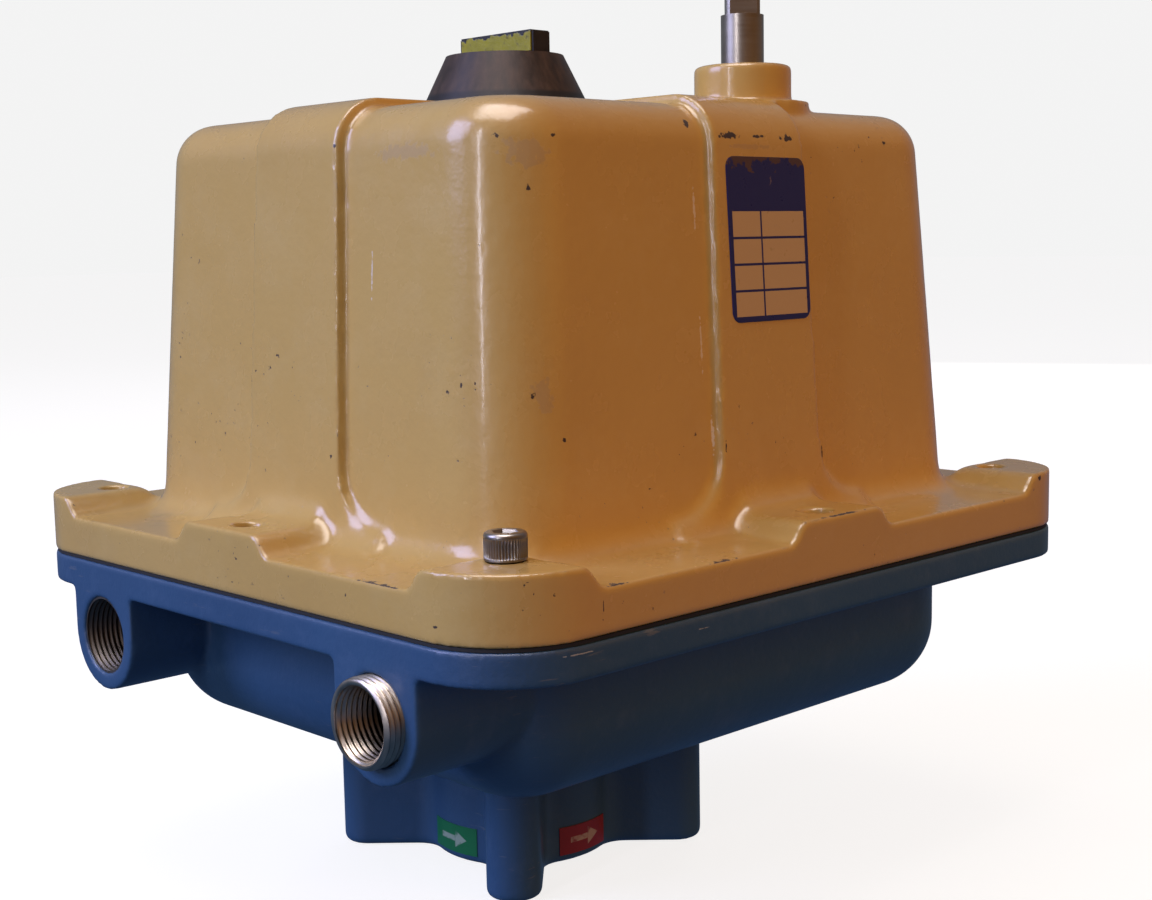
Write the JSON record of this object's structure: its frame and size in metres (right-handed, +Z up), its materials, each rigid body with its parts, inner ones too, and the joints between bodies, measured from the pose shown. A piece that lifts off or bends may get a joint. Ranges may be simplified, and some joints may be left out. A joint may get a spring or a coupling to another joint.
{
  "type": "electric quarter-turn valve actuator",
  "caption": "Weatherproof quarter-turn valve actuator: boxy gasketed housing on a four-armed pedestal, position indicator, manual override shaft, conduit entries.",
  "frame": {"origin": "centre of the output drive on the pedestal's flat mounting face", "axes": "+Z up along the output shaft, away from the valve; -Y is the side with the two conduit entries; +X is the side nearest the override shaft and the housing's larger overhang"},
  "size_m": [0.256, 0.2875, 0.305],
  "materials": {
    "base_enamel": "satin blue enamel on cast aluminium",
    "cover_enamel": "glossy cream-buff enamel on cast aluminium",
    "gasket_rubber": "black gasket",
    "dark_steel": "black oxide screws, worn bright on edges",
    "stainless": "turned stainless",
    "plain_steel": "machined steel",
    "bushing_steel": "oiled brownish steel",
    "bronze": "sintered bronze bushes",
    "seal_rubber": "nitrile rubber seals",
    "indicator_black": "worn black moulding",
    "indicator_yellow": "yellow-green strip, chipped",
    "label_green": "green vinyl tag",
    "label_red": "red vinyl tag",
    "label_print": "printed vinyl plate",
    "plate_zinc": "zinc plated plate",
    "motor_black": "black painted can",
    "motor_laminations": "laminated steel",
    "winding_enamel": "enamelled copper windings",
    "capacitor_case": "drawn aluminium can",
    "switch_moulding": "black phenolic",
    "plunger_red": "red plunger",
    "terminal_moulding": "black phenolic",
    "ground_green": "green dyed screw"
  },
  "bodies": {
    "housing": {"base_casting": "base_enamel", "cover_casting": "cover_enamel", "cover_gasket": "gasket_rubber", "cover_screws": "dark_steel", "conduit_bushing": "bushing_steel", "ground_screw": "ground_green", "open_label": "label_green", "closed_label": "label_red", "cover_label": "label_print", "lower_bearing": "bronze", "output_seal": "seal_rubber", "upper_bearing": "bronze", "stem_bush": "bronze", "stem_seal": "seal_rubber", "gear_plate": "plate_zinc", "plate_standoffs": "plain_steel", "plate_screws": "dark_steel", "third_bushes": "bronze", "second_bushes": "bronze", "override_bushes": "bronze", "override_seal": "seal_rubber", "motor_housing": "motor_black", "motor_end_cap": "motor_black", "motor_stator": "motor_laminations", "motor_windings": "winding_enamel", "motor_bearings": "plain_steel", "motor_screws": "dark_steel", "capacitor": "capacitor_case", "capacitor_clamp": "plate_zinc", "switch_bracket": "plate_zinc", "closed_switch": "switch_moulding", "open_switch": "switch_moulding", "switch_screws": "dark_steel", "terminal_block": "terminal_moulding", "terminal_screws": "bronze"},
    "output": {"output_shaft": "plain_steel", "output_gear": "plain_steel", "gear_key": "plain_steel", "shaft_retaining_ring": "dark_steel", "closed_cam": "terminal_moulding", "open_cam": "terminal_moulding", "cam_screws": "dark_steel", "indicator_cone": "indicator_black", "indicator_insert": "indicator_yellow", "indicator_screw": "dark_steel"},
    "third_stage": {"third_arbor": "plain_steel", "third_gear": "plain_steel"},
    "second_stage": {"second_arbor": "plain_steel", "second_gear": "plain_steel"},
    "motor_rotor_group": {"motor_rotor": "motor_laminations", "motor_shaft": "plain_steel", "motor_pinion": "plain_steel"},
    "manual_override": {"override_shaft": "stainless", "override_gear": "plain_steel", "override_pin": "plain_steel", "override_retaining_ring": "dark_steel"},
    "closed_lever_body": {"closed_lever": "stainless"},
    "open_lever_body": {"open_lever": "stainless"},
    "closed_plunger_body": {"closed_plunger": "plunger_red"},
    "open_plunger_body": {"open_plunger": "plunger_red"}
  },
  "joints": [
    {"name": "output_turn", "type": "hinge", "parent": "housing", "child": "output", "pos_m": [0, 0, 0.09], "axis": [0, 0, 1], "range_deg": [0, 90]},
    {"name": "third_stage_turn", "type": "hinge", "parent": "housing", "child": "third_stage", "pos_m": [-0.02467, 0.06777, 0.09], "axis": [0, 0, 1], "range_deg": [-450, 0]},
    {"name": "second_stage_turn", "type": "hinge", "parent": "housing", "child": "second_stage", "pos_m": [0.01238, 0.0743, 0.09], "axis": [0, 0, 1], "range_deg": [0, 1800]},
    {"name": "motor_turn", "type": "hinge", "parent": "housing", "child": "motor_rotor_group", "pos_m": [0.03843, 0.06482, 0.09], "axis": [0, 0, 1], "range_deg": [-6480, 0]},
    {"name": "override_turn", "type": "hinge", "parent": "housing", "child": "manual_override", "pos_m": [0.07357, 0.04078, 0.09], "axis": [0, 0, 1], "range_deg": [-225, 0]},
    {"name": "closed_lever_swing", "type": "hinge", "parent": "housing", "child": "closed_lever_body", "pos_m": [-0.0284, -0.013, 0.149], "axis": [0, 0, 1], "range_deg": [0, 4], "stiffness_Nm_per_rad": 0.05, "springref_deg": -2.86},
    {"name": "closed_plunger_slide", "type": "slide", "parent": "housing", "child": "closed_plunger_body", "axis": [-1, 0, 0], "range_m": [0, 0.000489]},
    {"name": "open_lever_swing", "type": "hinge", "parent": "housing", "child": "open_lever_body", "pos_m": [-0.0284, -0.013, 0.167], "axis": [0, 0, 1], "range_deg": [0, 4], "stiffness_Nm_per_rad": 0.05, "springref_deg": -2.86},
    {"name": "open_plunger_slide", "type": "slide", "parent": "housing", "child": "open_plunger_body", "axis": [-1, 0, 0], "range_m": [0, 0.000489]}
  ],
  "couplings": [
    {"joint": "third_stage_turn", "follows": "output_turn", "ratio": -5},
    {"joint": "second_stage_turn", "follows": "output_turn", "ratio": 20},
    {"joint": "motor_turn", "follows": "output_turn", "ratio": -72},
    {"joint": "override_turn", "follows": "output_turn", "ratio": -2.5},
    {"joint": "closed_plunger_slide", "follows": "closed_lever_swing", "m_per_rad": 0.007},
    {"joint": "open_plunger_slide", "follows": "open_lever_swing", "m_per_rad": 0.007}
  ]
}
